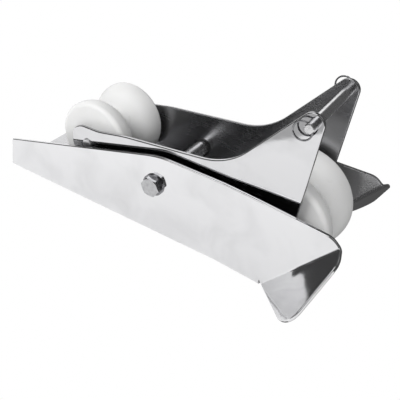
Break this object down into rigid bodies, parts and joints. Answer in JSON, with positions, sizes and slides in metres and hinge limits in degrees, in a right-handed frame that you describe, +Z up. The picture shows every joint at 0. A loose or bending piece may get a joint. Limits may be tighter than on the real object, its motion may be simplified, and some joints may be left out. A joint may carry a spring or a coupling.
{
  "type": "tilting bow roller",
  "caption": "Tilting bow roller: folded steel channel with flared cheeks and a pivoting cradle carrying grooved nylon rollers and a retaining pin with split rings.",
  "frame": {"origin": "centre of the deck bolt pattern, on the underside of the channel's floor", "axes": "+Z up from the deck, +X forward over the bow, +Y to port"},
  "size_m": [0.3427, 0.184, 0.1618],
  "materials": {
    "channel_steel": "mirror-polished stainless sheet",
    "cradle_steel": "mirror-polished stainless sheet",
    "bolt_steel": "bright stainless, machined",
    "tube_steel": "turned stainless tube, satin",
    "pin_steel": "ground stainless rod",
    "ring_steel": "bright spring wire",
    "roller_nylon": "off-white nylon, satin",
    "bush_plastic": "black acetal",
    "spacer_plastic": "off-white nylon, satin"
  },
  "bodies": {
    "channel": {"base_channel": "channel_steel", "pivot_bolt": "bolt_steel", "bolt_washer": "bolt_steel", "pivot_tube": "tube_steel", "spacer_starboard": "spacer_plastic", "spacer_port": "spacer_plastic", "nut_washer": "bolt_steel", "pivot_nut": "bolt_steel", "nut_insert": "spacer_plastic"},
    "cradle": {"cradle_plate_starboard": "cradle_steel", "cradle_plate_port": "cradle_steel", "pivot_bush_starboard": "bush_plastic", "pivot_bush_port": "bush_plastic", "front_axle": "pin_steel", "rear_axle": "pin_steel", "front_axle_spacers": "spacer_plastic", "rear_axle_spacers": "spacer_plastic"},
    "front_roller_body": {"front_roller": "roller_nylon"},
    "rear_roller_body": {"rear_roller": "roller_nylon"},
    "pin": {"retaining_pin": "pin_steel"},
    "starboard_ring": {"ring_starboard": "ring_steel"},
    "port_ring": {"ring_port": "ring_steel"}
  },
  "joints": [
    {"name": "cradle_tilt", "type": "hinge", "parent": "channel", "child": "cradle", "pos_m": [0.0854, 0, 0.0524], "axis": [0, 1, 0], "range_deg": [-12, 40]},
    {"name": "front_roller_spin", "type": "hinge", "parent": "cradle", "child": "front_roller_body", "pos_m": [0.1893, 0, 0.0487], "axis": [0, 1, 0], "continuous": true},
    {"name": "rear_roller_spin", "type": "hinge", "parent": "cradle", "child": "rear_roller_body", "pos_m": [0.007, 0, 0.0588], "axis": [0, 1, 0], "continuous": true},
    {"name": "pin_slide", "type": "slide", "parent": "cradle", "child": "pin", "axis": [0, 1, 0], "range_m": [-0.003, 0.003]},
    {"name": "ring_starboard_swing", "type": "hinge", "parent": "pin", "child": "starboard_ring", "pos_m": [0.2075, -0.042, 0.152], "axis": [-0.6361, 0, 0.7716], "range_deg": [0, 180]},
    {"name": "ring_port_swing", "type": "hinge", "parent": "pin", "child": "port_ring", "pos_m": [0.2075, 0.042, 0.152], "axis": [0.061, 0, -0.9981], "range_deg": [0, 180]}
  ]
}
